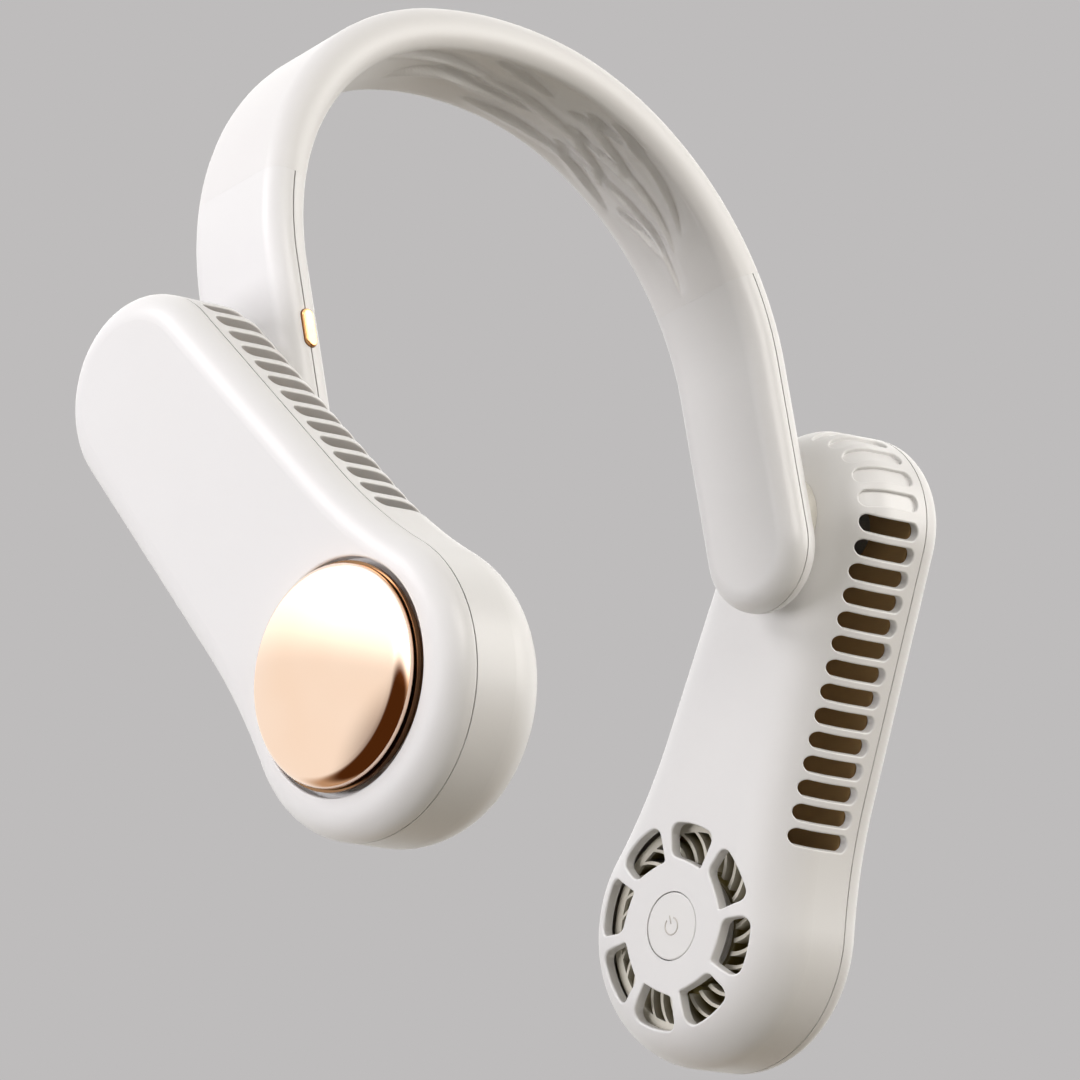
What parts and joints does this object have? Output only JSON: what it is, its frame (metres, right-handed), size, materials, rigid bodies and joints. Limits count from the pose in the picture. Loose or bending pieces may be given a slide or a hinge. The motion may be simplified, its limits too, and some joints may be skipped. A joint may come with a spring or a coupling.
{
  "type": "electric neck fan",
  "caption": "Wearable neck fan: a springy arched neck band with a swivelling fan pod on each end, each with edge outlet slots, a swirl of intake holes and a gold dome.",
  "frame": {"origin": "on the inner face of the neck band at the middle of the crown, where it rests on the neck", "axes": "+X from the left pod to the right pod, -Y the way the outlet slots face, +Z from the pods up to the crown of the band"},
  "size_m": [0.2048, 0.1433, 0.1865],
  "materials": {
    "shell_white": "warm white ABS, moulded satin",
    "sleeve_silicone": "warm white silicone, soft satin",
    "rose_gold": "vacuum-plated champagne gold, mirror",
    "seat_gold": "vacuum-plated bronze, mirror",
    "button_white": "warm white ABS, moulded satin",
    "spring_steel": "rolled spring steel",
    "plain_steel": "turned and plated steel",
    "bush_plastic": "natural acetal",
    "duct_plastic": "dark ABS, moulded matt",
    "board": "green solder resist",
    "cell": "aluminium pouch film",
    "bearing_bronze": "sintered bronze",
    "core_steel": "laminated core",
    "impeller_white": "off-white ABS, moulded",
    "cable": "flat flexible cable"
  },
  "bodies": {
    "left_arm": {"band_sleeve": "sleeve_silicone", "band_spring": "spring_steel", "band_ribbon_cable": "cable", "mode_switch_board": "board", "left_arm_inner_shell": "shell_white", "left_arm_outer_shell": "shell_white", "left_arm_screws": "plain_steel", "left_pivot_pin": "plain_steel", "left_pivot_clip": "spring_steel", "left_spring_washer": "spring_steel"},
    "right_arm": {"right_arm_inner_shell": "shell_white", "right_arm_outer_shell": "shell_white", "right_arm_screws": "plain_steel", "right_pivot_pin": "plain_steel", "right_pivot_clip": "spring_steel", "right_spring_washer": "spring_steel"},
    "left_pod": {"left_pod_outer_shell": "shell_white", "left_pod_inner_shell": "shell_white", "left_pivot_bush": "bush_plastic", "left_dome_seat": "seat_gold", "left_dome_cap": "rose_gold", "left_duct_plate": "duct_plastic", "left_plate_screws": "plain_steel", "left_control_board": "board", "left_battery": "cell", "left_motor_bearing": "bearing_bronze", "left_stator": "core_steel"},
    "right_pod": {"right_pod_outer_shell": "shell_white", "right_pod_inner_shell": "shell_white", "right_pivot_bush": "bush_plastic", "right_dome_seat": "seat_gold", "right_dome_cap": "rose_gold", "right_duct_plate": "duct_plastic", "right_plate_screws": "plain_steel", "right_control_board": "board", "right_battery": "cell", "right_motor_bearing": "bearing_bronze", "right_stator": "core_steel", "button_board": "board", "charging_socket": "plain_steel"},
    "left_fan": {"left_impeller": "impeller_white", "left_rotor_cup": "plain_steel", "left_fan_shaft": "plain_steel"},
    "right_fan": {"right_impeller": "impeller_white", "right_rotor_cup": "plain_steel", "right_fan_shaft": "plain_steel"},
    "power_button": {"power_button": "button_white"},
    "mode_button": {"mode_button": "rose_gold"}
  },
  "joints": [
    {"name": "band_flex", "type": "hinge", "parent": "left_arm", "child": "right_arm", "pos_m": [0, 0, 0.00445], "axis": [0, -1, 0], "range_deg": [-6, 20], "stiffness_Nm_per_rad": 1.6, "springref_deg": 3.15, "deforming": ["band_sleeve", "band_spring", "band_ribbon_cable"]},
    {"name": "left_pod_swivel", "type": "hinge", "parent": "left_arm", "child": "left_pod", "pos_m": [-0.0663, 0, -0.08047], "axis": [1, 0, 0], "range_deg": [-43.8, 106.2]},
    {"name": "right_pod_swivel", "type": "hinge", "parent": "right_arm", "child": "right_pod", "pos_m": [0.0663, 0, -0.08047], "axis": [1, 0, 0], "range_deg": [-109.8, 40.2]},
    {"name": "left_fan_spin", "type": "hinge", "parent": "left_pod", "child": "left_fan", "pos_m": [-0.08992, -0.04248, -0.15061], "axis": [1, 0, 0], "continuous": true},
    {"name": "right_fan_spin", "type": "hinge", "parent": "right_pod", "child": "right_fan", "pos_m": [0.08992, 0.0468, -0.1478], "axis": [1, 0, 0], "continuous": true},
    {"name": "power_button_press", "type": "slide", "parent": "right_pod", "child": "power_button", "axis": [1, 0, 0], "range_m": [0, 0.0004], "stiffness_N_per_m": 2000, "springref_m": -0.0008},
    {"name": "mode_button_press", "type": "slide", "parent": "left_arm", "child": "mode_button", "axis": [0, 1, 0], "range_m": [0, 0.0005], "stiffness_N_per_m": 2000, "springref_m": -0.0008}
  ]
}
